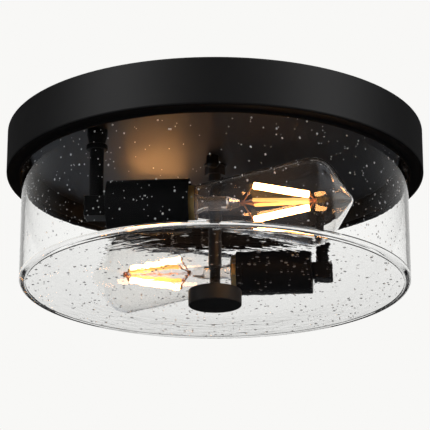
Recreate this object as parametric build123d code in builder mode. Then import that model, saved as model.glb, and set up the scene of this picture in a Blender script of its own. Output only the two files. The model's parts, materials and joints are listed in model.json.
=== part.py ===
from build123d import *
import os
from math import cos, radians, sin, tan

# Flush mount ceiling light: a black pressed pan, a clear glass drum held up by a knob on a centre rod,
# and two lamps that lie side by side, head to tail, on drop arms inside the drum.
# Millimetres. The origin is the centre of the ceiling face, +Z is up and the light hangs below it.
# The lamps lie along X: the front lamp at -Y points to +X, and the rear lamp at +Y points to -X.

os.makedirs("parts", exist_ok=True)

# Ceiling pan, one pressing of sheet steel with a recessed centre
PAN_R = 152.5
PAN_DEPTH = 34.3
SHEET = 1.2
RIM_ROUND = 1.5
EDGE_ROUND = 1.6
LIP_R = 142.5
LIP_DROP = 2.3
RECESS_R = 135.0
RECESS_DEPTH = 21.3
PLATE_TOP = -RECESS_DEPTH
PLATE_LOW = -RECESS_DEPTH - SHEET
ROD_HOLE_R = 4.2
STUD_HOLE_R = 2.3

# Glass drum and its seal
GLASS_R = 141.1
GLASS_WALL = 2.8
GLASS_FLOOR = 2.8
GLASS_LOW = -116.1
GLASS_CORNER = 3.0
GLASS_INNER_CORNER = 1.2
GLASS_LIP_ROUND = 1.0
GLASS_HOLE_R = 5.5
GASKET_THICK = 3.0
GASKET_R = (136.5, 142.0)
BODY_GAP = 0.3
THREAD_GAP = 0.1

# Centre rod, its sleeve and the finial knob
ROD_R = 4.0
ROD_TOP = -13.0
ROD_LOW = -125.1
ROD_BEVEL = 0.5
THREAD_TOP = -101.0
THREAD_PITCH = 1.25
THREAD_DEPTH = 0.5
SLEEVE_R = (4.15, 4.75)
SLEEVE_LOW = -99.0
NUT_AF = 13.0
WASHER_R = (4.2, 8.5)
WASHER_THICK = 1.2
ROD_NUT_TALL = 6.5
ROD_NUT_THIN = 4.4
KNOB_R = 19.25
KNOB_TALL = 11.6
KNOB_LOW = -129.6
KNOB_EDGE = 1.0
KNOB_BOSS_R = 9.0
KNOB_BORE_R = 4.08
KNOB_BORE_END = -125.6
PAD_R = (4.6, 9.5)
PAD_THICK = 0.6
KNOB_WASHER_THICK = 0.5

# Mounting strap, with slots for outlet-box screws 69.9 to 88.9 mm apart
STRAP = (22.0, 112.0, 2.0)
STRAP_CORNER = 4.0
SLOT_SPACING = 79.4
SLOT_LENGTH = 24.0
SLOT_R = 2.4
STUD_R = 2.0
STUD_Y = 20.0
STUD_LOW = -28.5
TAP_GAP = 0.05
CAP_NUT = (4.5, 8.5)
CAP_DOME = 3.0
CAP_BORE_END = -28.9
GROUND_AT = (-6.5, 10.0)
GROUND_HEAD = (3.6, 2.2)
GROUND_SLOT = (7.5, 1.0)

# Lamps: distances along the lamp axis are counted from the fixture's middle towards the bulb's tip
LAMP_OFFSET = 78.0
LAMP_Z = -79.0
ARM_ALONG = -76.0
SOCKET_BACK = -67.5
SOCKET_MOUTH = -10.2
SOCKET_R = 18.0
SOCKET_WALL = 1.2
SOCKET_FLOOR = 1.5
SOCKET_EDGE = 0.5

# Drop arm, from a hollow nipple in the pan to the elbow block on the lamp's axis
NIPPLE_R = (3.2, 4.8)
NIPPLE_TOP = -14.0
NIPPLE_HOLE_R = 5.0
NIPPLE_GRIP = 5.0
NIPPLE_END = -61.0
ARM_NUT_AF = 14.0
ARM_NUT_TALL = 3.8
COUPLING_R = (7.15, 5.7)
COUPLING_TOP = PLATE_LOW
COUPLING_SHOULDER = -26.0
COUPLING_WAIST = -32.0
COLLAR_R = 7.5
COLLAR_TOP = -33.3
COLLAR_LOW = -37.0
COLLAR_ROUND = 1.0
TUBE_R = (3.4, 4.95)
BLOCK = (15.0, 15.0, 14.5)
BLOCK_DROP = 1.0
BLOCK_EDGE = 1.0
LOCK_WASHER_R = 7.2
LEAD_R = 1.0
LEAD_SPREAD = 1.5
LEAD_BEND = 5.0

# Screw socket inside the sleeve
BODY_R = 16.6
BODY_BACK = -59.5
BODY_FLOOR = -37.6
BODY_MOUTH = -12.1
BODY_BORE_R = 14.2
SHELL_R = (13.6, 14.0)
SHELL_MOUTH = -13.1
SHELL_SHEET = 0.5
SHELL_FLANGE_R = 9.0
SPRING_R = (6.0, 4.6, 3.4)

# Bulb, 60 mm across and 136.6 mm long over its base, with a tapered envelope
BULB_TIP = 102.0
NECK = -6.6
BULB_R = 30.0
BULB_SHOULDER_R = 19.0
BULB_TIP_R = 6.5
BULB_WALL = 1.1
NECK_R = 11.7
NECK_END = -15.6
CONE_TILT = 12.0
TIP_SLOPE = 58.9
BASE_R = (12.0, 12.4, 13.15)
BASE_COLLAR = 4.5
BASE_FLANGE = 3.0
BASE_END = -31.1
BASE_THREADS = 5
BASE_PITCH = 3.63
INSULATOR_R = (10.6, 6.0)
INSULATOR_END = -33.2
BUTTON_R = (4.8, 3.6)
CONTACT_END = -34.6
STEM_R = 4.8
STEM_TIP_R = 2.6
STEM_WAIST = -0.6
STEM_FLARE_TOP = -8.6
STEM_FLARE_R = 8.3
STEM_PINCH = 8.0
STEM_END = 24.0
STICK_R = 1.8
STICK_ANGLES = (80, 170, 260, 350)
STICK_BACK = (33.5, 12.0)
STICK_FRONT = (72.0, 4.5)
HUB_BACK = 26.0
HUB_FRONT = 76.5
HUB_R = 2.0
HUB_THICK = 1.2
WIRE_R = 0.5


def save(piece, name):
    """Labels a finished piece and writes it under its own name."""
    piece.part.label = name
    export_step(piece.part, f"parts/{name}.step")


def turned(outline, plane=Plane.XZ, axis=Axis.Z):
    """A piece turned about an axis from a straight-sided outline on a plane."""
    with BuildPart() as piece:
        with BuildSketch(plane):
            with BuildLine():
                Polyline(*outline, close=True)
            make_face()
        revolve(axis=axis)
    return piece


def tube(radii, start, end):
    """The (radius, distance) outline of a plain ring or tube."""
    inner, outer = radii
    return [(inner, start), (outer, start), (outer, end), (inner, end)]


def tube_along(radii, start, end):
    """The (distance, radius) outline of a plain ring or tube."""
    return [(distance, radius) for radius, distance in tube(radii, start, end)]


# The ceiling pan
arm_spots = [(ARM_ALONG, -LAMP_OFFSET), (-ARM_ALONG, LAMP_OFFSET)]
with BuildPart() as pan:
    with BuildSketch(Plane.XZ):
        with BuildLine():
            inside = PAN_R - SHEET
            floor = -PAN_DEPTH + SHEET
            dish = RECESS_R - SHEET
            Polyline((0, PLATE_TOP), (dish, PLATE_TOP), (dish, 0), (PAN_R - RIM_ROUND, 0))
            RadiusArc((PAN_R - RIM_ROUND, 0), (PAN_R, -RIM_ROUND), RIM_ROUND)
            Line((PAN_R, -RIM_ROUND), (PAN_R, -PAN_DEPTH + EDGE_ROUND))
            RadiusArc((PAN_R, -PAN_DEPTH + EDGE_ROUND), (PAN_R - EDGE_ROUND, -PAN_DEPTH), EDGE_ROUND)
            Polyline(
                (PAN_R - EDGE_ROUND, -PAN_DEPTH),
                (LIP_R + SHEET, -PAN_DEPTH),
                (LIP_R + SHEET, -PAN_DEPTH - LIP_DROP),
                (LIP_R, -PAN_DEPTH - LIP_DROP),
                (LIP_R, floor),
                (PAN_R - EDGE_ROUND, floor),
            )
            inner_round = EDGE_ROUND - SHEET
            RadiusArc((PAN_R - EDGE_ROUND, floor), (inside, floor + inner_round), -inner_round)
            Polyline(
                (inside, floor + inner_round),
                (inside, -SHEET),
                (RECESS_R, -SHEET),
                (RECESS_R, PLATE_LOW),
                (0, PLATE_LOW),
                (0, PLATE_TOP),
            )
        make_face()
    revolve(axis=Axis.Z)
    with BuildSketch(Plane.XY.offset(PLATE_TOP)):
        Circle(ROD_HOLE_R)
        with Locations((0, STUD_Y), (0, -STUD_Y)):
            Circle(STUD_HOLE_R)
        with Locations(*arm_spots):
            Circle(NIPPLE_HOLE_R)
    extrude(amount=-SHEET, mode=Mode.SUBTRACT)
save(pan, "ceiling_pan")

# Soft ring in the top of the pan that the glass is pulled up against
gasket_low = -SHEET - GASKET_THICK
gasket = turned(tube(GASKET_R, gasket_low, -SHEET))
save(gasket, "shade_gasket")

# Glass drum with a flat floor, a rounded corner and a polished lip
glass_top = gasket_low - BODY_GAP
with BuildPart() as glass:
    with BuildSketch(Plane.XZ):
        with BuildLine():
            inner_r = GLASS_R - GLASS_WALL
            inner_low = GLASS_LOW + GLASS_FLOOR
            lip = glass_top - GLASS_LIP_ROUND
            heel = GLASS_R - GLASS_CORNER
            inner_heel = inner_r - GLASS_INNER_CORNER
            Line((GLASS_HOLE_R, GLASS_LOW), (heel, GLASS_LOW))
            RadiusArc((heel, GLASS_LOW), (GLASS_R, GLASS_LOW + GLASS_CORNER), -GLASS_CORNER)
            Line((GLASS_R, GLASS_LOW + GLASS_CORNER), (GLASS_R, lip))
            RadiusArc((GLASS_R, lip), (GLASS_R - GLASS_LIP_ROUND, glass_top), -GLASS_LIP_ROUND)
            Line((GLASS_R - GLASS_LIP_ROUND, glass_top), (inner_r + GLASS_LIP_ROUND, glass_top))
            RadiusArc((inner_r + GLASS_LIP_ROUND, glass_top), (inner_r, lip), -GLASS_LIP_ROUND)
            inner_foot = inner_low + GLASS_INNER_CORNER
            Line((inner_r, lip), (inner_r, inner_foot))
            RadiusArc((inner_r, inner_foot), (inner_heel, inner_low), GLASS_INNER_CORNER)
            Polyline((inner_heel, inner_low), (GLASS_HOLE_R, inner_low), (GLASS_HOLE_R, GLASS_LOW))
        make_face()
    revolve(axis=Axis.Z)
save(glass, "glass_shade")

# Mounting strap with its two slots and two tapped holes
with BuildPart() as strap:
    with BuildSketch(Plane.XY.offset(-STRAP[2])):
        RectangleRounded(STRAP[0], STRAP[1], STRAP_CORNER)
        with Locations((0, SLOT_SPACING / 2), (0, -SLOT_SPACING / 2)):
            SlotOverall(SLOT_LENGTH, 2 * SLOT_R, rotation=90, mode=Mode.SUBTRACT)
        with Locations((0, STUD_Y), (0, -STUD_Y)):
            Circle(STUD_R + TAP_GAP, mode=Mode.SUBTRACT)
        with Locations(GROUND_AT):
            Circle(STUD_R + TAP_GAP, mode=Mode.SUBTRACT)
    extrude(amount=STRAP[2])
save(strap, "mounting_strap")

# Earthing screw, its slotted pan head under the strap
with BuildPart() as ground:
    with BuildSketch(Plane.XY.offset(-STRAP[2])):
        with Locations(GROUND_AT):
            Circle(STUD_R)
    extrude(amount=STRAP[2])
    head_low = -STRAP[2] - GROUND_HEAD[1]
    with BuildSketch(Plane.XY.offset(head_low)):
        with Locations(GROUND_AT):
            Circle(GROUND_HEAD[0])
    extrude(amount=GROUND_HEAD[1])
    with BuildSketch(Plane.XY.offset(head_low)):
        with Locations(GROUND_AT):
            Rectangle(GROUND_SLOT[0], GROUND_SLOT[1])
    extrude(amount=GROUND_SLOT[1], mode=Mode.SUBTRACT)
save(ground, "ground_screw")

# Two studs hang from the strap through the pan
with BuildPart() as studs:
    with BuildSketch(Plane.XY.offset(STUD_LOW)):
        with Locations((0, STUD_Y), (0, -STUD_Y)):
            Circle(STUD_R)
    extrude(amount=-STUD_LOW)
save(studs, "canopy_studs")

# Domed cap nuts that clamp the pan to the ceiling
with BuildPart() as cap_nuts:
    nut_r, nut_tall = CAP_NUT
    with BuildSketch(Plane.XY.offset(PLATE_LOW - nut_tall)):
        with Locations((0, STUD_Y), (0, -STUD_Y)):
            Circle(nut_r)
    extrude(amount=nut_tall)
    fillet(cap_nuts.edges().group_by(Axis.Z)[0], radius=CAP_DOME)
    with BuildSketch(Plane.XY.offset(CAP_BORE_END)):
        with Locations((0, STUD_Y), (0, -STUD_Y)):
            Circle(STUD_R + TAP_GAP)
    extrude(amount=PLATE_LOW - CAP_BORE_END, mode=Mode.SUBTRACT)
save(cap_nuts, "canopy_cap_nuts")

# Centre rod, with a thread cut from below the sleeve to its end
with BuildPart() as rod:
    with BuildSketch(Plane.XZ):
        with BuildLine():
            outline = [(0, ROD_TOP), (ROD_R, ROD_TOP)]
            thread_z = THREAD_TOP
            while thread_z - THREAD_PITCH > ROD_LOW + ROD_BEVEL:
                outline += [(ROD_R, thread_z), (ROD_R - THREAD_DEPTH, thread_z - THREAD_PITCH / 2)]
                thread_z -= THREAD_PITCH
            outline += [(ROD_R, thread_z), (ROD_R, ROD_LOW + ROD_BEVEL)]
            outline += [(ROD_R - ROD_BEVEL, ROD_LOW), (0, ROD_LOW)]
            Polyline(*outline, close=True)
        make_face()
    revolve(axis=Axis.Z)
save(rod, "centre_rod")

# Nuts and washers that clamp the rod to the pan, and the sleeve below them
low_nut_top = PLATE_LOW - WASHER_THICK
low_nut_end = low_nut_top - ROD_NUT_TALL
with BuildPart() as rod_nuts:
    with BuildSketch(Plane.XY.offset(low_nut_end)):
        RegularPolygon(NUT_AF / 2, 6, major_radius=False)
        Circle(ROD_R + THREAD_GAP, mode=Mode.SUBTRACT)
    extrude(amount=ROD_NUT_TALL)
    with BuildSketch(Plane.XY.offset(PLATE_TOP + WASHER_THICK)):
        RegularPolygon(NUT_AF / 2, 6, major_radius=False)
        Circle(ROD_R + THREAD_GAP, mode=Mode.SUBTRACT)
    extrude(amount=ROD_NUT_THIN)
save(rod_nuts, "rod_nuts")

with BuildPart() as rod_washers:
    with BuildSketch(Plane.XY.offset(low_nut_top), Plane.XY.offset(PLATE_TOP)):
        Circle(WASHER_R[1])
        Circle(WASHER_R[0], mode=Mode.SUBTRACT)
    extrude(amount=WASHER_THICK)
save(rod_washers, "rod_washers")

sleeve = turned(tube(SLEEVE_R, SLEEVE_LOW, low_nut_end))
save(sleeve, "rod_sleeve")

# Soft washer under the glass, steel washer and finial knob
pad_low = GLASS_LOW - PAD_THICK
pad = turned(tube(PAD_R, pad_low, GLASS_LOW))
save(pad, "shade_washer")

washer_top = pad_low - BODY_GAP
knob_washer = turned(tube(PAD_R, washer_top - KNOB_WASHER_THICK, washer_top))
save(knob_washer, "knob_washer")

boss_top = washer_top - KNOB_WASHER_THICK - BODY_GAP
knob_top = KNOB_LOW + KNOB_TALL
with BuildPart() as knob:
    with BuildSketch(Plane.XY.offset(KNOB_LOW)):
        Circle(KNOB_R)
    extrude(amount=KNOB_TALL)
    fillet(knob.edges(), radius=KNOB_EDGE)
    with BuildSketch(Plane.XY.offset(knob_top)):
        Circle(KNOB_BOSS_R)
    extrude(amount=boss_top - knob_top)
    with BuildSketch(Plane.XY.offset(KNOB_BORE_END)):
        Circle(KNOB_BORE_R)
    extrude(amount=boss_top - KNOB_BORE_END, mode=Mode.SUBTRACT)
save(knob, "finial_knob")

# Lock nuts above the pan on both arms, each against a coupling below it
with BuildPart() as arm_nuts:
    with BuildSketch(Plane.XY.offset(PLATE_TOP)):
        with Locations(*arm_spots):
            RegularPolygon(ARM_NUT_AF / 2, 6, major_radius=False)
        with Locations(*arm_spots):
            Circle(NIPPLE_R[1] + THREAD_GAP, mode=Mode.SUBTRACT)
    extrude(amount=ARM_NUT_TALL)
save(arm_nuts, "arm_lock_nuts")


class LampFrame:
    """Where one lamp lies: the planes, axes and points that its arm, socket and bulb are placed by."""

    def __init__(self, turn):
        self.towards = Vector(1, 0, 0).rotate(Axis.Z, turn)
        self.side = Vector(0, -1, 0).rotate(Axis.Z, turn)
        self.middle = self.side * LAMP_OFFSET + Vector(0, 0, LAMP_Z)
        self.lie = Plane(origin=self.middle, x_dir=self.towards, z_dir=self.side)
        self.axis = Axis(self.middle, self.towards)
        foot = self.side * LAMP_OFFSET + self.towards * ARM_ALONG
        self.stand = Plane(origin=foot, x_dir=self.towards, z_dir=self.side)
        self.arm_axis = Axis(foot, Vector(0, 0, 1))

    def point(self, along, across=0.0, height=0.0):
        """A point from its distance along the lamp, out to its side and above its axis."""
        return self.middle + self.towards * along + self.side * across + Vector(0, 0, height)

    def facing(self, along):
        """A plane square to the lamp's axis, facing the bulb's tip."""
        return Plane(origin=self.point(along), z_dir=self.towards)

    def level(self, along, z):
        """A level plane over a point of the lamp's axis."""
        return Plane(origin=self.point(along, 0, z - LAMP_Z), x_dir=self.towards)

    def upright(self, outline):
        """A piece turned about the drop arm from (radius, z) points."""
        return turned(outline, self.stand, self.arm_axis)

    def lying(self, outline):
        """A piece turned about the lamp's axis from (along, radius) points."""
        return turned(outline, self.lie, self.axis)


def arm_pieces(lamp, at):
    """The drop arm, from its nipple in the pan to the elbow block and the socket's fastenings."""
    bore = NIPPLE_R[1] + THREAD_GAP
    save(at.upright(tube(NIPPLE_R, COLLAR_LOW, NIPPLE_TOP)), f"arm_nipple_{lamp}")
    save(
        at.upright(
            [
                (bore, COUPLING_TOP),
                (COUPLING_R[0], COUPLING_TOP),
                (COUPLING_R[0], COUPLING_SHOULDER),
                (COUPLING_R[1], COUPLING_WAIST),
                (COUPLING_R[1], COLLAR_TOP),
                (bore, COLLAR_TOP),
            ]
        ),
        f"arm_coupling_{lamp}",
    )
    with BuildPart() as collar:
        with BuildSketch(at.level(ARM_ALONG, COLLAR_LOW)):
            Circle(COLLAR_R)
            Circle(bore, mode=Mode.SUBTRACT)
        extrude(amount=COLLAR_TOP - COLLAR_LOW)
        fillet(collar.edges().filter_by(GeomType.CIRCLE).sort_by(SortBy.RADIUS)[-2:], radius=COLLAR_ROUND)
    save(collar, f"arm_collar_{lamp}")

    block_top = LAMP_Z - BLOCK_DROP + BLOCK[2] / 2
    save(at.upright(tube(TUBE_R, block_top, COLLAR_LOW)), f"arm_tube_{lamp}")

    # The elbow's upright and level bores meet on the lamp's axis
    block_face = ARM_ALONG + BLOCK[0] / 2
    with BuildPart() as block:
        with BuildSketch(at.level(ARM_ALONG, block_top)):
            Rectangle(BLOCK[0], BLOCK[1])
        extrude(amount=-BLOCK[2])
        fillet(block.edges(), radius=BLOCK_EDGE)
        with BuildSketch(at.level(ARM_ALONG, LAMP_Z)):
            Circle(TUBE_R[0])
        extrude(amount=BLOCK[2], mode=Mode.SUBTRACT)
        with BuildSketch(at.facing(ARM_ALONG)):
            Circle(TUBE_R[0])
        extrude(amount=BLOCK[0], mode=Mode.SUBTRACT)
        with BuildSketch(at.facing(block_face - NIPPLE_GRIP)):
            Circle(bore)
        extrude(amount=BLOCK[0], mode=Mode.SUBTRACT)
    save(block, f"elbow_block_{lamp}")

    save(at.lying(tube_along(NIPPLE_R, block_face - NIPPLE_GRIP, NIPPLE_END)), f"socket_nipple_{lamp}")
    save(at.lying(tube_along((bore, LOCK_WASHER_R), block_face, SOCKET_BACK)), f"socket_lock_washer_{lamp}")
    with BuildPart() as lock_nut:
        with BuildSketch(at.facing(SOCKET_BACK + SOCKET_FLOOR)):
            RegularPolygon(ARM_NUT_AF / 2, 6, major_radius=False)
            Circle(bore, mode=Mode.SUBTRACT)
        extrude(amount=ARM_NUT_TALL)
    save(lock_nut, f"socket_lock_nut_{lamp}")

    # Two insulated leads from the socket, round the elbow and up the arm
    with BuildPart() as leads:
        for across in (LEAD_SPREAD, -LEAD_SPREAD):
            start = at.point(BODY_BACK, across)
            with BuildLine() as route:
                bend = at.point(ARM_ALONG, across)
                end = at.point(ARM_ALONG, across, NIPPLE_TOP - LAMP_Z)
                FilletPolyline(start, bend, end, radius=LEAD_BEND)
            with BuildSketch(Plane(origin=start, z_dir=at.towards * -1)):
                Circle(LEAD_R)
            sweep(path=route.wires()[0])
    save(leads, f"lamp_leads_{lamp}")


def socket_pieces(lamp, at):
    """The socket: its black sleeve, insulating body, screw shell and centre contact."""
    with BuildPart() as cover:
        with BuildSketch(at.facing(SOCKET_BACK)):
            Circle(SOCKET_R)
        extrude(amount=SOCKET_MOUTH - SOCKET_BACK)
        fillet(cover.edges().filter_by(GeomType.CIRCLE), radius=SOCKET_EDGE)
        with BuildSketch(at.facing(SOCKET_BACK + SOCKET_FLOOR)):
            Circle(SOCKET_R - SOCKET_WALL)
        extrude(amount=SOCKET_MOUTH - SOCKET_BACK, mode=Mode.SUBTRACT)
        with BuildSketch(at.facing(SOCKET_BACK)):
            Circle(NIPPLE_HOLE_R)
        extrude(amount=SOCKET_FLOOR, mode=Mode.SUBTRACT)
    save(cover, f"socket_sleeve_{lamp}")
    save(
        at.lying(
            [
                (BODY_BACK, 0),
                (BODY_BACK, BODY_R),
                (BODY_MOUTH, BODY_R),
                (BODY_MOUTH, BODY_BORE_R),
                (BODY_FLOOR, BODY_BORE_R),
                (BODY_FLOOR, 0),
            ]
        ),
        f"socket_body_{lamp}",
    )
    shell_in, shell_out = SHELL_R
    save(
        at.lying(
            [
                (BODY_FLOOR, SHELL_FLANGE_R),
                (BODY_FLOOR, shell_out),
                (SHELL_MOUTH, shell_out),
                (SHELL_MOUTH, shell_in),
                (BODY_FLOOR + SHELL_SHEET, shell_in),
                (BODY_FLOOR + SHELL_SHEET, SHELL_FLANGE_R),
            ]
        ),
        f"screw_shell_{lamp}",
    )
    spring_top = CONTACT_END - BODY_GAP
    save(
        at.lying(
            [
                (BODY_FLOOR, 0),
                (BODY_FLOOR, SPRING_R[0]),
                (BODY_FLOOR + SHELL_SHEET, SPRING_R[0]),
                (BODY_FLOOR + SHELL_SHEET, SPRING_R[1]),
                (spring_top, SPRING_R[2]),
                (spring_top, 0),
            ]
        ),
        f"centre_contact_{lamp}",
    )


def envelope_points(inset):
    """The bulb envelope's corners at a depth below its outer skin, as (along, radius) points."""
    tilt, slope = radians(CONE_TILT), radians(TIP_SLOPE)
    tip_along = BULB_TIP - BULB_TIP_R
    shoulder_height = BULB_R - BULB_SHOULDER_R
    shoulder_lead = BULB_SHOULDER_R - BULB_TIP_R
    shoulder_rise = shoulder_height + shoulder_lead * cos(slope)
    shoulder_along = tip_along - shoulder_lead * sin(slope) - shoulder_rise / tan(slope)
    tip_r, shoulder_r = BULB_TIP_R - inset, BULB_SHOULDER_R - inset
    edge = (tip_along + tip_r * sin(slope), tip_r * cos(slope))
    front = (shoulder_along + shoulder_r * sin(slope), shoulder_height + shoulder_r * cos(slope))
    back = (shoulder_along - shoulder_r * sin(tilt), shoulder_height + shoulder_r * cos(tilt))
    neck = (NECK + inset, back[1] - (back[0] - NECK - inset) * tan(tilt))
    return neck, back, front, edge, (BULB_TIP - inset, 0)


def draw_envelope(inset):
    """Draws the half outline of the envelope at a depth below its skin."""
    neck, back, front, edge, tip = envelope_points(inset)
    Polyline((NECK_END, 0), (NECK_END, NECK_R - inset), (NECK + inset, NECK_R - inset), neck, back)
    RadiusArc(back, front, BULB_SHOULDER_R - inset)
    Line(front, edge)
    RadiusArc(edge, tip, BULB_TIP_R - inset)
    Line(tip, (NECK_END, 0))


def bulb_pieces(lamp, at):
    """The bulb: envelope, screw base, insulator, contact, glass stem and lit filaments."""
    with BuildPart() as envelope:
        with BuildSketch(at.lie):
            with BuildLine():
                draw_envelope(0)
            make_face()
        revolve(axis=at.axis)
        with BuildSketch(at.lie):
            with BuildLine():
                draw_envelope(BULB_WALL)
            make_face()
        revolve(axis=at.axis, mode=Mode.SUBTRACT)
    save(envelope, f"bulb_glass_{lamp}")

    # Screw base of rolled sheet, its thread drawn as round ribs
    base_in, base_low, base_high = BASE_R
    thread_start = NECK - BASE_COLLAR - BASE_THREADS * BASE_PITCH
    with BuildPart() as base:
        with BuildSketch(at.lie):
            with BuildLine():
                Polyline(
                    (thread_start, base_low),
                    (BASE_END, INSULATOR_R[0]),
                    (BASE_END, base_in - BASE_FLANGE),
                    (BASE_END + SHELL_SHEET, base_in - BASE_FLANGE),
                    (thread_start, base_in),
                    (NECK, base_in),
                    (NECK, base_high),
                    (NECK - BASE_COLLAR, base_high),
                    (NECK - BASE_COLLAR, base_low),
                )
                for thread in range(BASE_THREADS):
                    rib = thread_start + thread * BASE_PITCH
                    crest, trough = rib + BASE_PITCH / 2, rib + BASE_PITCH
                    ThreePointArc((rib, base_low), (crest, base_high), (trough, base_low))
            make_face()
        revolve(axis=at.axis)
    save(base, f"bulb_base_{lamp}")
    wide, narrow = INSULATOR_R
    save(
        at.lying([(BASE_END, 0), (BASE_END, wide), (INSULATOR_END, narrow), (INSULATOR_END, 0)]),
        f"bulb_insulator_{lamp}",
    )
    save(
        at.lying(
            [
                (INSULATOR_END - TAP_GAP, 0),
                (INSULATOR_END - TAP_GAP, BUTTON_R[0]),
                (CONTACT_END + SHELL_SHEET, BUTTON_R[0]),
                (CONTACT_END, BUTTON_R[1]),
                (CONTACT_END, 0),
            ]
        ),
        f"bulb_contact_{lamp}",
    )

    # Hollow glass stem: a flare in the neck, a tube and a pinched end
    flare = NECK_R - BULB_WALL - THREAD_GAP
    pinch = STEM_END - STEM_PINCH
    outside = [(NECK_END, flare), (STEM_FLARE_TOP, STEM_FLARE_R), (STEM_WAIST, STEM_R)]
    outside += [(pinch, STEM_R), (STEM_END, STEM_TIP_R), (STEM_END, 0)]
    inside = [(pinch, 0), (pinch - BULB_WALL, STEM_R - BULB_WALL)]
    inside += [(along, radius - BULB_WALL) for along, radius in reversed(outside[:3])]
    save(at.lying(outside + inside), f"bulb_stem_{lamp}")

    # Four filament sticks in a tapering cage, with wires from a hub at each end
    def spoke(along, radius, angle):
        return at.point(along, radius * cos(radians(angle)), radius * sin(radians(angle)))

    with BuildPart() as sticks:
        for angle in STICK_ANGLES:
            start, end = spoke(*STICK_BACK, angle), spoke(*STICK_FRONT, angle)
            with BuildSketch(Plane(origin=start, z_dir=end - start)):
                Circle(STICK_R)
            extrude(amount=(end - start).length)
    save(sticks, f"bulb_filaments_{lamp}")

    with BuildPart() as supports:
        with BuildSketch(at.facing(STEM_END)):
            Circle(WIRE_R)
        extrude(amount=HUB_FRONT - STEM_END)
        for hub, (along, radius) in ((HUB_BACK, STICK_BACK), (HUB_FRONT, STICK_FRONT)):
            with BuildSketch(at.facing(hub - HUB_THICK / 2)):
                Circle(HUB_R)
            extrude(amount=HUB_THICK)
            for angle in STICK_ANGLES:
                reach = spoke(along, radius, angle) - at.point(hub)
                with BuildSketch(Plane(origin=at.point(hub), z_dir=reach)):
                    Circle(WIRE_R)
                extrude(amount=reach.length)
        add(sticks.part, mode=Mode.SUBTRACT)
    save(supports, f"filament_supports_{lamp}")


for lamp_name, lamp_turn in (("front", 0), ("rear", 180)):
    lamp_frame = LampFrame(lamp_turn)
    arm_pieces(lamp_name, lamp_frame)
    socket_pieces(lamp_name, lamp_frame)
    bulb_pieces(lamp_name, lamp_frame)
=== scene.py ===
import json
import math
import random

import bpy
from mathutils import Matrix, Vector


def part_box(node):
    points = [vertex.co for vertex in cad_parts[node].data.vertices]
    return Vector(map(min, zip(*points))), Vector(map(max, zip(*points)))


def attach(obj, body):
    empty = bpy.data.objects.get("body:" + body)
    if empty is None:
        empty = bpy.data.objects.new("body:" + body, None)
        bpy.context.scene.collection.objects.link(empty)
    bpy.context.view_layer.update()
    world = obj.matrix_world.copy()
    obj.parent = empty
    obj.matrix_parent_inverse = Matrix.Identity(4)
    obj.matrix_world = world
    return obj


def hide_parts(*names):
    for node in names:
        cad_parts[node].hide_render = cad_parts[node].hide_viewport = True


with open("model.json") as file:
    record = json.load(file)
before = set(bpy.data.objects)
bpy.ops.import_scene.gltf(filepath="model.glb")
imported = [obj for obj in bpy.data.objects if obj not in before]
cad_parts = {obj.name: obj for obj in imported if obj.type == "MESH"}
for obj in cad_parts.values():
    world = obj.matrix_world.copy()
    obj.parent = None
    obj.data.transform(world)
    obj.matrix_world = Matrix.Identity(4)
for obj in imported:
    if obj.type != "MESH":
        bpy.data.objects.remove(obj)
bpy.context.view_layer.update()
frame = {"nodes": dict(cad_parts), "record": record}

# A flush mount ceiling light: black pan, seeded glass drum, knob and two lit lamps lying head to tail.
# Metres, in the frame of the solid model: the ceiling is at z = 0 and the light hangs below it.

NODES = frame["nodes"]
MM = 0.001
LAMPS = (("front", 0.0), ("rear", math.pi))

# Drum sizes, which its shape and its finish share
drum_low, drum_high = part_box("glass_shade")
DRUM_R = drum_high.x
WALL, FLOOR_THICK = 2.8 * MM, 2.8 * MM


# Shader maths


class Value:
    """A socket whose value can be used in sums. Each operator adds a Math node."""

    def __init__(self, finish, socket):
        self.finish = finish
        self.socket = socket

    def math(self, operation, *others):
        return self.finish.math(operation, self, *others)

    def __add__(self, other):
        return self.math("ADD", other)

    __radd__ = __add__

    def __mul__(self, other):
        return self.math("MULTIPLY", other)

    __rmul__ = __mul__

    def __sub__(self, other):
        return self.math("SUBTRACT", other)

    def __rsub__(self, other):
        return self.finish.math("SUBTRACT", other, self)

    def __truediv__(self, other):
        return self.math("DIVIDE", other)


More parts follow.
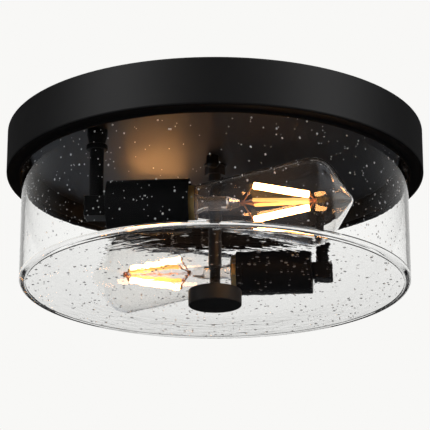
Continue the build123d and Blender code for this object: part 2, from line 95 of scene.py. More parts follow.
class Finish:
    """A node tree that is being filled, of a material or of the world."""

    def __init__(self, tree):
        self.tree = tree
        self.tree.nodes.clear()

    def feed(self, socket, value):
        if isinstance(value, Value):
            self.tree.links.new(value.socket, socket)
        elif isinstance(value, bpy.types.NodeSocket):
            self.tree.links.new(value, socket)
        else:
            socket.default_value = value

    def node(self, kind, settings=None, sockets=None):
        """Any node: its type, its settings, and the values or links of its sockets."""
        made = self.tree.nodes.new("ShaderNode" + kind)
        for name, value in (settings or {}).items():
            setattr(made, name, value)
        for name, value in (sockets or {}).items():
            self.feed(made.inputs[name], value)
        return made

    def math(self, operation, *values):
        made = self.node("Math", {"operation": operation}, dict(enumerate(values)))
        return Value(self, made.outputs[0])

    def mix(self, factor, first, second):
        """A colour between two, by a factor."""
        made = self.node("Mix", {"data_type": "RGBA"}, {0: factor, 6: first, 7: second})
        return made.outputs[2]

    def mix_skins(self, factor, first, second):
        """A shader between two, by a factor."""
        return self.node("MixShader", {}, {0: factor, 1: first, 2: second}).outputs[0]

    def place(self, scale=(1, 1, 1)):
        """The piece's own coordinates in metres, scaled."""
        spot = self.node("TexCoord").outputs["Object"]
        return self.node("Mapping", {}, {"Vector": spot, "Scale": scale}).outputs[0]

    def axes(self, spot):
        """The three parts of a vector."""
        parts = self.node("SeparateXYZ", {}, {0: spot})
        return [Value(self, part) for part in parts.outputs]

    def noise(self, size, detail=2.0, rough=0.5, where=None):
        """Noise whose lumps are about a size across, in metres."""
        where = where or self.place()
        sockets = {"Vector": where, "Scale": 1 / size, "Detail": detail, "Roughness": rough}
        return Value(self, self.node("TexNoise", {}, sockets).outputs[0])

    def bump(self, height, depth, strength=1.0, normal=None):
        sockets = {"Height": height, "Distance": depth, "Strength": strength}
        if normal is not None:
            sockets["Normal"] = normal
        return self.node("Bump", {}, sockets).outputs[0]

    def skin(self, **sockets):
        """A Principled shader: names are given with low lines for spaces."""
        named = {name.replace("_", " "): value for name, value in sockets.items()}
        return self.node("BsdfPrincipled", {}, named).outputs[0]

    def show(self, surface, kind="OutputMaterial"):
        self.node(kind, {}, {"Surface": surface})


def new_finish(name):
    material = bpy.data.materials.new(name)
    material.use_nodes = True
    return material, Finish(material.node_tree)


def colour(red, green, blue):
    return (red, green, blue, 1.0)


# Coats

COAT_ROUGH, COAT_SHEEN = 0.42, 0.5
COAT_CLOUD, COAT_PEEL, COAT_GRAIN = 30 * MM, 2.2 * MM, 0.4 * MM
COAT_DEPTH, COAT_STRENGTH, COAT_UNEVEN = 0.02 * MM, 0.6, 0.08
PEEL_SHARE, GRAIN_SHARE = 0.6, 0.4
PLATE_EDGE, PLATE_ROUGH, PLATE_SLOPE = 134 * MM, 0.33, 0.1
FLANGE_TOP, FLANGE_ROUGH, FLANGE_SHEEN = -33.8 * MM, 0.7, 0.05


def coat_skin(finish, dark, pale, rough, sheen, sheet=None):
    """Powder coat with a fine grain and a slight orange peel, over the sheet's own slope."""
    cloud = finish.noise(COAT_CLOUD, 3.0)
    grain = finish.noise(COAT_GRAIN, 2.0, 0.6)
    peel = finish.noise(COAT_PEEL, 2.0)
    base = finish.mix(cloud.socket, colour(*dark), colour(*pale))
    slope = None if sheet is None else finish.bump(sheet, 1.0)
    normal = finish.bump(peel * PEEL_SHARE + grain * GRAIN_SHARE, COAT_DEPTH, COAT_STRENGTH, slope)
    rough = rough + COAT_UNEVEN * (grain - 0.5)
    return finish.skin(Base_Color=base, Roughness=rough, Specular_IOR_Level=sheen, Normal=normal)


def powder_coat(name, dark, pale, rough=COAT_ROUGH, sheen=COAT_SHEEN):
    material, finish = new_finish(name)
    finish.show(coat_skin(finish, dark, pale, rough, sheen))
    return material


def pan_coat(name, dark, pale):
    """The pan's coat: satin outside, smoother on the sloping plate; on the flange round the glass, painted
    shade: its dark tone alone, with little gloss.
    """
    material, finish = new_finish(name)
    x, y, z = finish.axes(finish.place())
    on_plate = (x * x + y * y).math("LESS_THAN", PLATE_EDGE**2)
    rough = COAT_ROUGH + (PLATE_ROUGH - COAT_ROUGH) * on_plate
    satin = coat_skin(finish, dark, pale, rough, COAT_SHEEN, on_plate * y * PLATE_SLOPE)
    # Painted shade on the flange: the coat in its dark tone alone, with little gloss.
    matt = coat_skin(finish, dark, dark, FLANGE_ROUGH, FLANGE_SHEEN)
    finish.show(finish.mix_skins(z.math("LESS_THAN", FLANGE_TOP), satin, matt))
    return material


# Metals, mouldings and silicone

METAL_MARKS, METAL_CLOUD, METAL_DEPTH = 0.6 * MM, 8 * MM, 0.01 * MM
METAL_UNEVEN, METAL_TARNISH = 0.15, 0.1
MOULD_CLOUD, MOULD_DEPTH, MOULD_UNEVEN = 10 * MM, 0.03 * MM, 0.1
SILICONE_GRAIN, SILICONE_DEPTH, SILICONE_CLEAR = 0.8 * MM, 0.02 * MM, 0.6
SILICONE_ROUGH, SILICONE_UNEVEN = 0.35, 0.1


def bare_metal(name, tint, shade, rough, drawn=(1, 1, 1)):
    """Plain metal with fine drawing marks along one way and a cloudy tarnish."""
    material, finish = new_finish(name)
    marks = finish.noise(METAL_MARKS, 3.0, 0.6, finish.place(scale=drawn))
    cloud = finish.noise(METAL_CLOUD, 3.0)
    base = finish.mix(cloud.socket, colour(*tint), colour(*shade))
    uneven = rough + METAL_UNEVEN * (marks - 0.5) + METAL_TARNISH * cloud
    normal = finish.bump(marks, METAL_DEPTH, 0.5)
    finish.show(finish.skin(Base_Color=base, Metallic=1.0, Roughness=uneven, Normal=normal))
    return material


def moulding(name, dark, pale, rough, grain_size=0.5 * MM):
    """Moulded resin or rubber with a fine matt grain."""
    material, finish = new_finish(name)
    grain = finish.noise(grain_size, 2.0, 0.6)
    cloud = finish.noise(MOULD_CLOUD, 2.0)
    base = finish.mix(cloud.socket, colour(*dark), colour(*pale))
    normal = finish.bump(grain, MOULD_DEPTH, 0.5)
    finish.show(finish.skin(Base_Color=base, Roughness=rough + MOULD_UNEVEN * (grain - 0.5), Normal=normal))
    return material


def soft_clear(name, tint):
    """Translucent silicone."""
    material, finish = new_finish(name)
    grain = finish.noise(SILICONE_GRAIN, 2.0)
    skin = finish.skin(
        Base_Color=colour(*tint),
        Roughness=SILICONE_ROUGH + SILICONE_UNEVEN * grain,
        Transmission_Weight=SILICONE_CLEAR,
        Normal=finish.bump(grain, SILICONE_DEPTH, 0.4),
    )
    finish.show(skin)
    return material


# Glass. The drum bends light little in its wall and floor, and fully in its bottom corner, the heel. Its
# floor's upper side is shaded as a swell between two radii, with faint rings on it.

DRUM_INDEX, HEEL_INDEX, BULB_INDEX = 1.13, 1.5, 1.45
DRUM_RIPPLE, DRUM_FINE, DRUM_WIDE = 0.04 * MM, 3 * MM, 9 * MM
HEEL_WIDE, HEEL_HIGH = 4.9 * MM, 4.1 * MM
HEEL_IN, HEEL_TOP = DRUM_R - HEEL_WIDE, drum_low.z + HEEL_HIGH
SWELL_IN, SWELL_OUT, SWELL_RISE = 80 * MM, 112 * MM, -0.13
SWELL_LOW, SWELL_TOP = drum_low.z + FLOOR_THICK / 2, HEEL_TOP
RING_SIZE, RING_TURN, RING_GAIN = 5 * MM, 35 * MM, 1000.0
FINE_SHARE = 0.35
SEED_LUMPS, SEED_ROUGH, SEED_UNEVEN = 0.6 * MM, 0.3, 0.2
PHOSPHOR, PHOSPHOR_ROUGH, PHOSPHOR_LUMPS = colour(0.9, 0.62, 0.2), 0.6, 1.2 * MM


def ripples(finish, fine, wide):
    """Height of an uneven glass surface: small lumps on wide ones."""
    return finish.noise(fine, 1.0) * FINE_SHARE + finish.noise(wide, 1.0)


def glass_skin(finish, tint, index, normal, haze=0.0, bloom=0.0, bloom_width=0.3):
    """Clear glass, with a little haze, and a bloom where it is seen edge on."""
    return finish.skin(
        Base_Color=colour(*tint),
        Roughness=0.0,
        Transmission_Weight=1.0 - haze,
        IOR=index,
        Sheen_Weight=bloom,
        Sheen_Roughness=bloom_width,
        Normal=normal,
    )


def show_glass(finish, glass, tint):
    """Shows a glass that lets the lamps' light through: a shadow ray meets its tint alone."""
    clear = finish.node("BsdfTransparent", {}, {"Color": colour(*tint)}).outputs[0]
    shadow = finish.node("LightPath").outputs["Is Shadow Ray"]
    finish.show(finish.mix_skins(shadow, glass, clear))


def drum_glass(name, tint):
    """Rippled glass of the drum, with its heel and the swell of its floor."""
    material, finish = new_finish(name)
    x, y, z = finish.axes(finish.place())
    out = x * x + y * y
    swell = (out.math("MINIMUM", SWELL_OUT**2) - SWELL_IN**2).math("MAXIMUM", 0.0)
    swell = swell * z.math("GREATER_THAN", SWELL_LOW) * z.math("LESS_THAN", SWELL_TOP)
    around = finish.math("ARCTAN2", x, 0 - y)
    lanes = finish.node("CombineXYZ", {}, {0: finish.math("SQRT", out), 1: around * RING_TURN}).outputs[0]
    rings = finish.noise(RING_SIZE, 1.0, where=lanes)
    height = ripples(finish, DRUM_FINE, DRUM_WIDE) + swell * RING_GAIN * rings
    normal = finish.bump(height, DRUM_RIPPLE, 1.0, finish.bump(swell * SWELL_RISE, 1.0))
    thin = glass_skin(finish, tint, DRUM_INDEX, normal)
    thick = glass_skin(finish, tint, HEEL_INDEX, normal)
    on_heel = out.math("GREATER_THAN", HEEL_IN**2) * z.math("LESS_THAN", HEEL_TOP)
    show_glass(finish, finish.mix_skins(on_heel, thin, thick), tint)
    return material


def bulb_glass(name, tint, depth, fine, wide, haze, bloom, bloom_width):
    """Blown glass of a lamp, with ripples of a depth and of a fine and a wide size."""
    material, finish = new_finish(name)
    normal = finish.bump(ripples(finish, fine, wide), depth)
    show_glass(finish, glass_skin(finish, tint, BULB_INDEX, normal, haze, bloom, bloom_width), tint)
    return material


def pale_seed_with_painted_light(name, tint, painted_glint, cover):
    """Small bubbles in the glass, drawn as pale bodies whose painted glow stands in for their glints: pale
    against the dark and grey against the light.
    """
    material, finish = new_finish(name)
    lumps = finish.noise(SEED_LUMPS, 1.0)
    skin = finish.skin(
        Base_Color=colour(*tint),
        Roughness=SEED_ROUGH + SEED_UNEVEN * lumps,
        Emission_Color=colour(*tint),
        Emission_Strength=painted_glint,
        Alpha=cover,
    )
    finish.show(skin)
    return material


def glowing_coat(name, glow, edge, strength):
    """Lit phosphor coat of the filament sticks, a little uneven along them."""
    material, finish = new_finish(name)
    lumps = finish.noise(PHOSPHOR_LUMPS, 2.0)
    skin = finish.skin(
        Base_Color=PHOSPHOR,
        Roughness=PHOSPHOR_ROUGH,
        Emission_Color=finish.mix(lumps.socket, colour(*glow), colour(*edge)),
        Emission_Strength=strength,
    )
    finish.show(skin)
    return material


# The finishes of this light

BLACK_DARK, BLACK_PALE = (0.010, 0.010, 0.011), (0.016, 0.016, 0.017)
SATIN_BLACK = powder_coat("satin_black", BLACK_DARK, BLACK_PALE)
PAN_BLACK = pan_coat("pan_black", BLACK_DARK, BLACK_PALE)
KNOB_BLACK = powder_coat("knob_black", (0.014, 0.014, 0.015), (0.020, 0.020, 0.021), 0.6, 0.9)
# Painted shade: a darker, duller copy of the black coat, for the parts inside the pan and glass.
SHADED_INNER_BLACK = powder_coat("shaded_inner_black", (0.004, 0.004, 0.0045), (0.007, 0.007, 0.0075), 0.5, 0.1)
# Painted glints: the seeds are pale glowing bodies. The wall's seeds are paler and brighter, the floor's
# greyer and dimmer.
WALL_SEED = pale_seed_with_painted_light("wall_seed", (0.82, 0.84, 0.86), 0.11, 0.55)
FLOOR_SEED = pale_seed_with_painted_light("floor_seed", (0.36, 0.36, 0.37), 0.03, 0.5)
ZINC = bare_metal("zinc_plate", (0.56, 0.57, 0.57), (0.44, 0.45, 0.46), 0.30, (1, 1, 0.05))
GREEN_ZINC = powder_coat("green_screw", (0.03, 0.16, 0.05), (0.05, 0.22, 0.08), 0.35)
BRASS = bare_metal("brass", (0.80, 0.56, 0.24), (0.62, 0.40, 0.15), 0.42, (0.05, 1, 1))
SOLDER = bare_metal("solder", (0.52, 0.52, 0.52), (0.36, 0.36, 0.37), 0.35)
COPPER = bare_metal("copper_wire", (0.80, 0.45, 0.25), (0.55, 0.28, 0.14), 0.25)
FOAM = moulding("gasket_foam", (0.012, 0.012, 0.012), (0.022, 0.022, 0.022), 0.9, 0.9 * MM)
RESIN = moulding("socket_resin", (0.014, 0.013, 0.013), (0.022, 0.021, 0.020), 0.5)
LEAD = moulding("lead_cover", (0.020, 0.020, 0.020), (0.032, 0.032, 0.032), 0.45)
SEAL = moulding("black_seal", (0.012, 0.012, 0.014), (0.020, 0.020, 0.022), 0.2)
SILICONE = soft_clear("silicone", (0.82, 0.82, 0.80))
DRUM_GLASS = drum_glass("seeded_glass", (0.998, 1.0, 0.998))
BULB_GLASS = bulb_glass("bulb_glass", (0.99, 0.985, 0.975), 0.006 * MM, 4 * MM, 12 * MM, 0.003, 0.5, 0.12)
STEM_GLASS = bulb_glass("stem_glass", (0.99, 0.98, 0.97), 0.01 * MM, 3 * MM, 8 * MM, 0.05, 1.0, 0.3)
GLOW = glowing_coat("lit_filament", (1.0, 0.52, 0.20), (1.0, 0.44, 0.14), 20.0)
SIDE_GLOW = glowing_coat("lit_filament_edge", (1.0, 0.62, 0.20), (0.9, 0.50, 0.12), 0.9)

FINISH_OF_SLOT = {
    "black_metal": SATIN_BLACK,
    "steel": ZINC,
    "green_screw": GREEN_ZINC,
    "gasket_rubber": FOAM,
    "clear_silicone": SILICONE,
    "seeded_glass": DRUM_GLASS,
    "bulb_clear_glass": BULB_GLASS,
    "socket_resin": RESIN,
    "brass": BRASS,
    "lead_cover": LEAD,
    "bulb_insulator": SEAL,
    "solder": SOLDER,
    "filament": GLOW,
    "copper_wire": COPPER,
}
ARM_BLACKS = ("arm_nipple", "arm_coupling", "arm_collar", "arm_tube", "elbow_block")
SOCKET_BLACKS = ("socket_sleeve", "socket_lock_washer")
# The arms, the socket sleeves with their lock washers and the cap nuts take that darker copy of the coat,
# which is painted shade.
own_finishes = {"ceiling_pan": PAN_BLACK, "finial_knob": KNOB_BLACK, "canopy_cap_nuts": SHADED_INNER_BLACK}
for side, _ in LAMPS:
    own_finishes[f"bulb_stem_{side}"] = STEM_GLASS
    for name in ARM_BLACKS + SOCKET_BLACKS:
        own_finishes[f"{name}_{side}"] = SHADED_INNER_BLACK
for entry in frame["record"]["subparts"]:
    mesh = NODES[entry["node"]].data
    mesh.materials.clear()
    mesh.materials.append(own_finishes.get(entry["node"], FINISH_OF_SLOT[entry["material_slot"]]))


# Modelling

SMOOTH_ANGLE = math.radians(40)
SAME_POINT = 1e-6


def deselect():
    if bpy.context.mode != "OBJECT":
        bpy.ops.object.mode_set(mode="OBJECT")
    bpy.ops.object.select_all(action="DESELECT")


def turn(name, outline, facets):
    """A piece turned about Z: a ring is drawn out and resized from point to point of (radius, height)."""
    deselect()
    radius, height = outline[0]
    bpy.ops.mesh.primitive_circle_add(vertices=facets, radius=radius, location=(0, 0, height))
    piece = bpy.context.object
    piece.name = piece.data.name = name
    bpy.ops.object.transform_apply(location=True, rotation=True, scale=True)
    bpy.ops.object.mode_set(mode="EDIT")
    for (radius, height), (new_radius, new_height) in zip(outline, outline[1:]):
        bpy.ops.mesh.extrude_region_move(TRANSFORM_OT_translate={"value": (0, 0, new_height - height)})
        if new_radius == 0:
            bpy.ops.mesh.merge(type="CENTER")
        else:
            grow = new_radius / radius
            bpy.ops.transform.resize(value=(grow, grow, 1), center_override=(0, 0, new_height))
    bpy.ops.mesh.select_all(action="SELECT")
    bpy.ops.mesh.remove_doubles(threshold=SAME_POINT)
    bpy.ops.mesh.normals_make_consistent(inside=False)
    bpy.ops.object.mode_set(mode="OBJECT")
    bpy.ops.object.shade_smooth_by_angle(angle=SMOOTH_ANGLE)
    return piece


def arc(middle, radius, start, end, steps):
    """Points of an arc in the (radius, height) plane, angles in degrees from the radius axis."""
    points = []
    for step in range(steps + 1):
        angle = math.radians(start + (end - start) * step / steps)
        points.append((middle[0] + radius * math.cos(angle), middle[1] + radius * math.sin(angle)))
    return points


def finish_piece(piece, body, slot, material, *nodes):
    """Gives a piece its finish and its body, and lets it stand for its CAD nodes."""
    piece.data.materials.clear()
    piece.data.materials.append(material)
    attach(piece, body)
    if nodes:
        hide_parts(*nodes)


def apply_place(piece, matrix):
    """Moves a piece and puts the move into its mesh."""
    deselect()
    piece.matrix_world = matrix
    piece.select_set(True)
    bpy.context.view_layer.objects.active = piece
    bpy.ops.object.transform_apply(location=True, rotation=True, scale=True)


def twin(piece):
    """A copy of a piece with a mesh of its own."""
    made = piece.copy()
    made.data = piece.data.copy()
    bpy.context.collection.objects.link(made)
    return made


def join(pieces, name):
    deselect()
    for piece in pieces:
        piece.select_set(True)
    bpy.context.view_layer.objects.active = pieces[0]
    bpy.ops.object.join()
    pieces[0].name = pieces[0].data.name = name
    return pieces[0]


# Glass drum

HEEL, INNER_HEEL, LIP_ROUND, HOLE_R = 3.0 * MM, 1.2 * MM, 1.0 * MM, 5.5 * MM
DRUM_FACETS = 256
WALL_STOP = 30 * MM
FLOOR_STOPS = (0.25 * DRUM_R, 0.6 * DRUM_R)
drum_inside = DRUM_R - WALL
floor_top = drum_low.z + FLOOR_THICK
drum_outline = [(HOLE_R, drum_low.z)] + [(stop, drum_low.z) for stop in FLOOR_STOPS]
drum_outline += arc((DRUM_R - HEEL, drum_low.z + HEEL), HEEL, -90, 0, 10)
drum_outline += [(DRUM_R, drum_low.z + WALL_STOP), (DRUM_R, drum_high.z - WALL_STOP)]
drum_outline += arc((DRUM_R - LIP_ROUND, drum_high.z - LIP_ROUND), LIP_ROUND, 0, 90, 4)
drum_outline += arc((drum_inside + LIP_ROUND, drum_high.z - LIP_ROUND), LIP_ROUND, 90, 180, 4)
drum_outline += [(drum_inside, drum_high.z - WALL_STOP), (drum_inside, drum_low.z + WALL_STOP)]
drum_outline += arc((drum_inside - INNER_HEEL, floor_top + INNER_HEEL), INNER_HEEL, 0, -90, 8)
drum_outline += [(stop, floor_top) for stop in reversed(FLOOR_STOPS)]
drum_outline += [(HOLE_R, floor_top), (HOLE_R, drum_low.z)]
drum = turn("glass_drum", drum_outline, DRUM_FACETS)


# Seeds of the glass: small bubbles inside the wall and the floor

WALL_SEEDS, FLOOR_SEEDS = 1300, 520
WALL_SEED_RADII = (0.26, 0.3, 0.34, 0.4, 0.5, 0.7)
FLOOR_SEED_RADII = (0.5, 0.6, 0.8, 0.9, 1.1)
SEED_STRAY = 0.2 * MM
SEED_FLAT = 0.8
HEEL_CLEAR, LIP_CLEAR = 6 * MM, 4 * MM
FLOOR_SHARE = (0.004, 0.93)


def wall_places(draw):
    """Where the wall's seeds lie, how they are turned and how large they are."""
    for _ in range(WALL_SEEDS):
        around = draw.uniform(0, 2 * math.pi)
        out = DRUM_R - WALL / 2 + draw.uniform(-1, 1) * SEED_STRAY
        up = draw.uniform(drum_low.z + HEEL_CLEAR, drum_high.z - LIP_CLEAR)
        size = draw.choice(WALL_SEED_RADII) * MM
        spot = (out * math.cos(around), out * math.sin(around), up)
        yield spot, around, (SEED_FLAT * size, size, size * draw.uniform(0.9, 1.3))


def floor_places(draw):
    """The same for the floor's seeds."""
    for _ in range(FLOOR_SEEDS):
        around = draw.uniform(0, 2 * math.pi)
        out = math.sqrt(draw.uniform(*FLOOR_SHARE)) * DRUM_R
        up = drum_low.z + FLOOR_THICK / 2 + draw.uniform(-1, 1) * SEED_STRAY
        size = draw.choice(FLOOR_SEED_RADII) * MM
        spot = (out * math.cos(around), out * math.sin(around), up)
        yield spot, around, (size, size * draw.uniform(0.9, 1.4), SEED_FLAT * size)


def scatter_seeds(seed, name, places, material):
    """Copies of a seed at its places, joined as one piece that rides with the drum."""
    bubbles = []
    for spot, around, size in places:
        bubble = twin(seed)
        bubble.matrix_world = Matrix.LocRotScale(Vector(spot), Matrix.Rotation(around, 3, "Z"), Vector(size))
        bubbles.append(bubble)
    seeds = join(bubbles, name)
    apply_place(seeds, seeds.matrix_world.copy())
    finish_piece(seeds, "shade", "seeded_glass", material)


deselect()
bpy.ops.mesh.primitive_uv_sphere_add(segments=8, ring_count=6, radius=1)
seed_pattern = bpy.context.object
bpy.ops.object.shade_smooth()
scatter_seeds(seed_pattern, "wall_seeds", wall_places(random.Random(7)), WALL_SEED)
scatter_seeds(seed_pattern, "floor_seeds", floor_places(random.Random(7)), FLOOR_SEED)
bpy.data.objects.remove(seed_pattern)
finish_piece(drum, "shade", "seeded_glass", DRUM_GLASS, "glass_shade")


# Bulbs: the glass envelope and the filament sticks with their tabs

NECK, NECK_END, NECK_R, NECK_STEP = -6.6 * MM, -15.6 * MM, 11.7 * MM, 0.5 * MM
BULB_TIP, TIP_R, BULB_R, SHOULDER_R = 102.0 * MM, 6.5 * MM, 30.0 * MM, 19.0 * MM
CONE_TILT, TIP_SLOPE, TIP_STOP = 12.0, 58.9, 88.0
CONE_STEP, CONE_STEPS = 20 * MM, 4
BULB_WALL = 1.1 * MM
BULB_FACETS, STICK_FACETS = 128, 20
STICK_BACK, STICK_FRONT = (33.5 * MM, 12.0 * MM), (72.0 * MM, 4.5 * MM)
STICK_GROUPS = (("lit_sticks", GLOW, (80, 260)), ("lit_side_sticks", SIDE_GLOW, (170, 350)))
STICK_R, STICK_ROUND, STICK_PIN = 1.8 * MM, 0.8 * MM, 0.4 * MM
STICK_WIDE, STICK_THIN = 1.35, 0.65
TAB = Vector((1.8, 0.5, 4.0)) * MM
TAB_EDGE = 0.12 * MM


def lamp_frame(side, spin):
    """The lamp's own axis as Z, from the fixture's middle towards the bulb's tip."""
    low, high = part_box(f"bulb_glass_{side}")
    middle = (low + high) / 2
    lie = Matrix.Rotation(spin, 4, "Z") @ Matrix.Rotation(math.pi / 2, 4, "Y")
    return Matrix.Translation((0, middle.y, middle.z)) @ lie


def envelope_outline():
    """Neck, straight cone, round shoulder and blunt nose of the bulb, as (radius, along)."""
    tilt, slope = math.radians(CONE_TILT), math.radians(TIP_SLOPE)
    nose = BULB_TIP - TIP_R
    lead = SHOULDER_R - TIP_R
    shoulder_rise = BULB_R - SHOULDER_R
    shoulder = nose - lead * math.sin(slope) - (shoulder_rise + lead * math.cos(slope)) / math.tan(slope)
    rounded = arc((shoulder_rise, shoulder), SHOULDER_R, -CONE_TILT, TIP_SLOPE, 18)
    radius, along = rounded[0]
    runs = [along - NECK - step * CONE_STEP for step in range(CONE_STEPS)]
    cone = [(radius - run * math.tan(tilt), along - run) for run in runs]
    points = [(NECK_R, NECK_END), (NECK_R, NECK - NECK_STEP)] + cone + rounded
    return points + arc((0, nose), TIP_R, TIP_SLOPE, TIP_STOP, 8) + [(0, BULB_TIP)]


def wall_in(piece, thickness):
    """Gives a turned skin a wall, inwards."""
    shell = piece.modifiers.new("wall", "SOLIDIFY")
    shell.thickness = thickness
    shell.offset = -1
    shell.use_even_offset = True
    deselect()
    piece.select_set(True)
    bpy.context.view_layer.objects.active = piece
    bpy.ops.object.modifier_apply(modifier="wall")


def spoke(along, radius, angle):
    """A point of the filament cage in the lamp's own frame."""
    angle = math.radians(angle)
    return Vector((-radius * math.sin(angle), -radius * math.cos(angle), along))


def copies(piece, places, name):
    """Copies of a piece at places, joined."""
    made = []
    for place in places:
        copy = twin(piece)
        apply_place(copy, place)
        made.append(copy)
    return join(made, name)


def stick_pattern():
    """A lit stick with rounded ends, upright on the origin."""
    length = (spoke(*STICK_FRONT, 0) - spoke(*STICK_BACK, 0)).length
    outline = [(STICK_PIN, 0)] + arc((STICK_R - STICK_ROUND, STICK_ROUND), STICK_ROUND, -90, 0, 5)
    outline += [(radius, length - along) for radius, along in reversed(outline)]
    return turn("stick", outline, STICK_FACETS)


def tab_pattern():
    """The flat tab at a stick's end, with eased edges."""
    deselect()
    bpy.ops.mesh.primitive_cube_add(size=1, scale=TAB)
    tab = bpy.context.object
    bpy.ops.object.transform_apply(location=True, rotation=True, scale=True)
    bpy.ops.object.mode_set(mode="EDIT")
    bpy.ops.mesh.select_all(action="SELECT")
    bpy.ops.mesh.bevel(offset=TAB_EDGE, segments=2, affect="EDGES")
    bpy.ops.object.mode_set(mode="OBJECT")
    return tab


stick = stick_pattern()
tab = tab_pattern()
flat = Matrix.Diagonal((STICK_WIDE, STICK_THIN, 1, 1))
for side, spin in LAMPS:
    lie = lamp_frame(side, spin)
    envelope = turn(f"bulb_envelope_{side}", envelope_outline(), BULB_FACETS)
    wall_in(envelope, BULB_WALL)
    apply_place(envelope, lie)
    finish_piece(envelope, f"{side}_bulb", "bulb_clear_glass", BULB_GLASS, f"bulb_glass_{side}")

    tab_places = []
    for name, glow, angles in STICK_GROUPS:
        stick_places = []
        for angle in angles:
            start, end = spoke(*STICK_BACK, angle), spoke(*STICK_FRONT, angle)
            run = (end - start).normalized()
            edge = run.cross(spoke(0, 1, angle)).normalized()
            aim = Matrix((edge.cross(run), edge, run)).transposed().to_4x4()
            stick_places.append(lie @ Matrix.Translation(start) @ aim @ flat)
            tab_places += [lie @ Matrix.Translation(spot) @ aim for spot in (start, end)]
        sticks = copies(stick, stick_places, f"{name}_{side}")
        finish_piece(sticks, f"{side}_bulb", "filament", glow, f"bulb_filaments_{side}")
    tabs = copies(tab, tab_places, f"stick_tabs_{side}")
    finish_piece(tabs, f"{side}_bulb", "copper_wire", COPPER)
for pattern in (stick, tab):
    bpy.data.objects.remove(pattern)


# Stage: studio surroundings, pale floor and camera. The pale backdrop is for what the eye meets straight or
# through glass. What the pieces mirror is the dim studio and the shaded floor. Each panel of the studio has
# its middle and its spread in degrees, and its strength. Depths count how often a ray met glass or gloss.

BACKDROP = colour(0.940, 0.937, 0.922)
STUDIO_DIM = 0.055
PANELS = ((-49, 22, 1.25), (66, 24, 1.2))
STUDIO_LIFT, STUDIO_SOFT, SHARP_LOSS = 0.55, 0.2, 0.85
ONWARD_GAIN, ONWARD_SOFT, IN_WALL_LOSS = 1.6, 0.3, 0.85
FLOOR_Z, FLOOR_SIZE, UNDERFOOT = -4.0, 60, 6.0
FLOOR_DARK, FLOOR_PALE = colour(0.80, 0.80, 0.79), colour(0.84, 0.84, 0.83)
FLOOR_CLOUD, FLOOR_ROUGH = 0.5, 0.8
GLOSS_FLOOR = colour(0.010, 0.010, 0.011)
LEFT_FLOOR, INNER_FLOOR = colour(0.414, 0.460, 0.530), colour(0.045, 0.050, 0.058)
LEFT_EDGE, LEFT_END = -2.4, -0.9
IN_WALL_DEPTH, INSIDE_DEPTH, HALF_STEP = 2.0, 3.5, 0.5


def looked_through(finish, path, mirrored):
    """One for a view ray that came through glass alone, or that glass mirrored where that counts too."""
    straight = Value(finish, path["Glossy Depth"]).math("LESS_THAN", HALF_STEP)
    through = (straight * path["Is Transmission Ray"]).math("MAXIMUM", mirrored)
    return through * Value(finish, path["Diffuse Depth"]).math("LESS_THAN", HALF_STEP)


def studio_surroundings():
    """Pale backdrop where it is looked at, and a dim studio with two tall soft panels for gloss."""
    world = bpy.data.worlds.new("studio")
    bpy.context.scene.world = world
    world.use_nodes = True
    finish = Finish(world.node_tree)
    x, y, z = finish.axes(finish.node("TexCoord").outputs["Generated"])
    around = finish.math("ARCTAN2", x, 0 - y) * (180 / math.pi)
    light = STUDIO_DIM
    for middle, spread, strength in PANELS:
        offset = (around - middle) / spread
        light = light + strength * finish.math("EXPONENT", 0 - offset * offset)
    path = finish.node("LightPath").outputs
    sharp = Value(finish, path["Is Singular Ray"])
    rise = finish.math("SMOOTH_MIN", z + STUDIO_LIFT, 1.0, STUDIO_SOFT)
    light = light * rise * (1 - SHARP_LOSS * sharp)
    dim = finish.node("Background", {}, {"Color": colour(1, 1, 1), "Strength": light})
    pale = finish.node("Background", {}, {"Color": BACKDROP, "Strength": 1.0})

    # A sharp ray that goes on away from the eye sees the backdrop, but less of it from inside the near wall
    ahead = finish.math("SMOOTH_MIN", y * ONWARD_GAIN, 1.0, ONWARD_SOFT)
    in_wall = finish.math("COMPARE", path["Transmission Depth"], IN_WALL_DEPTH, HALF_STEP)
    onward = finish.math("SMOOTH_MAX", ahead, 0.0, ONWARD_SOFT) * sharp * (1 - IN_WALL_LOSS * in_wall)
    seen = finish.math("MAXIMUM", path["Is Camera Ray"], looked_through(finish, path, onward))
    finish.show(finish.mix_skins(seen, dim.outputs[0], pale.outputs[0]), "OutputWorld")


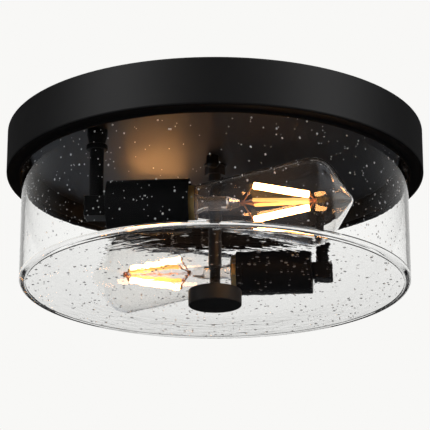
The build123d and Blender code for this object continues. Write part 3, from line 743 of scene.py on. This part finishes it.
def floor_finish():
    """Pale where it is looked at. In gloss it is dark, and inside the glass paler towards the left."""
    material, finish = new_finish("pale_floor")
    cloud = finish.noise(FLOOR_CLOUD, 2.0)
    base = finish.mix(cloud.socket, FLOOR_DARK, FLOOR_PALE)
    plain = finish.skin(Base_Color=base, Roughness=FLOOR_ROUGH)
    pale = finish.node("Emission", {}, {"Color": BACKDROP}).outputs[0]
    path = finish.node("LightPath").outputs
    x, y, _ = finish.axes(finish.place())
    inside = Value(finish, path["Transmission Depth"]).math("GREATER_THAN", INSIDE_DEPTH)
    underfoot = (x * x + y * y).math("LESS_THAN", UNDERFOOT**2)
    mirrored = underfoot * (1 - inside) * path["Is Singular Ray"]
    seen = finish.math("MAXIMUM", path["Is Camera Ray"], looked_through(finish, path, mirrored))
    gloss = Value(finish, path["Glossy Depth"]).math("GREATER_THAN", HALF_STEP)
    inwards = finish.node("MapRange", {"interpolation_type": "SMOOTHSTEP"}, {0: x, 1: LEFT_EDGE, 2: LEFT_END})
    inner = finish.mix(inwards.outputs[0], LEFT_FLOOR, INNER_FLOOR)
    shaded = finish.node("Emission", {}, {"Color": finish.mix(inside.socket, GLOSS_FLOOR, inner)}).outputs[0]
    finish.show(finish.mix_skins(seen, finish.mix_skins(gloss, plain, shaded), pale))
    return material


studio_surroundings()
deselect()
bpy.ops.mesh.primitive_grid_add(x_subdivisions=8, y_subdivisions=8, size=FLOOR_SIZE, location=(0, 0, FLOOR_Z))
floor = bpy.context.object
floor.name = floor.data.name = "floor"
floor.data.materials.append(floor_finish())

AIM = Vector((0, 0, -60.6 * MM))
AZIMUTH, RISE, DISTANCE = math.radians(5.0), math.radians(18.73), 1.5
PHOTO_WIDTH, PIXELS_PER_MM = 430, 1.3695
FRAME_WIDTH = PHOTO_WIDTH / PIXELS_PER_MM * MM
SENSOR, CLIP_NEAR, CLIP_FAR = 36.0, 0.01, 100
camera = bpy.data.cameras.new("camera")
camera.sensor_width = SENSOR
camera.lens = SENSOR * DISTANCE / FRAME_WIDTH
camera.clip_start = CLIP_NEAR
camera.clip_end = CLIP_FAR
eye = bpy.data.objects.new("camera", camera)
back = Vector((math.sin(AZIMUTH) * math.cos(RISE), -math.cos(AZIMUTH) * math.cos(RISE), -math.sin(RISE)))
eye.location = AIM + back * DISTANCE
eye.rotation_mode = "QUATERNION"
eye.rotation_quaternion = (-back).to_track_quat("-Z", "Y")
bpy.context.collection.objects.link(eye)
bpy.context.scene.camera = eye
bpy.context.scene.view_settings.view_transform = "Standard"
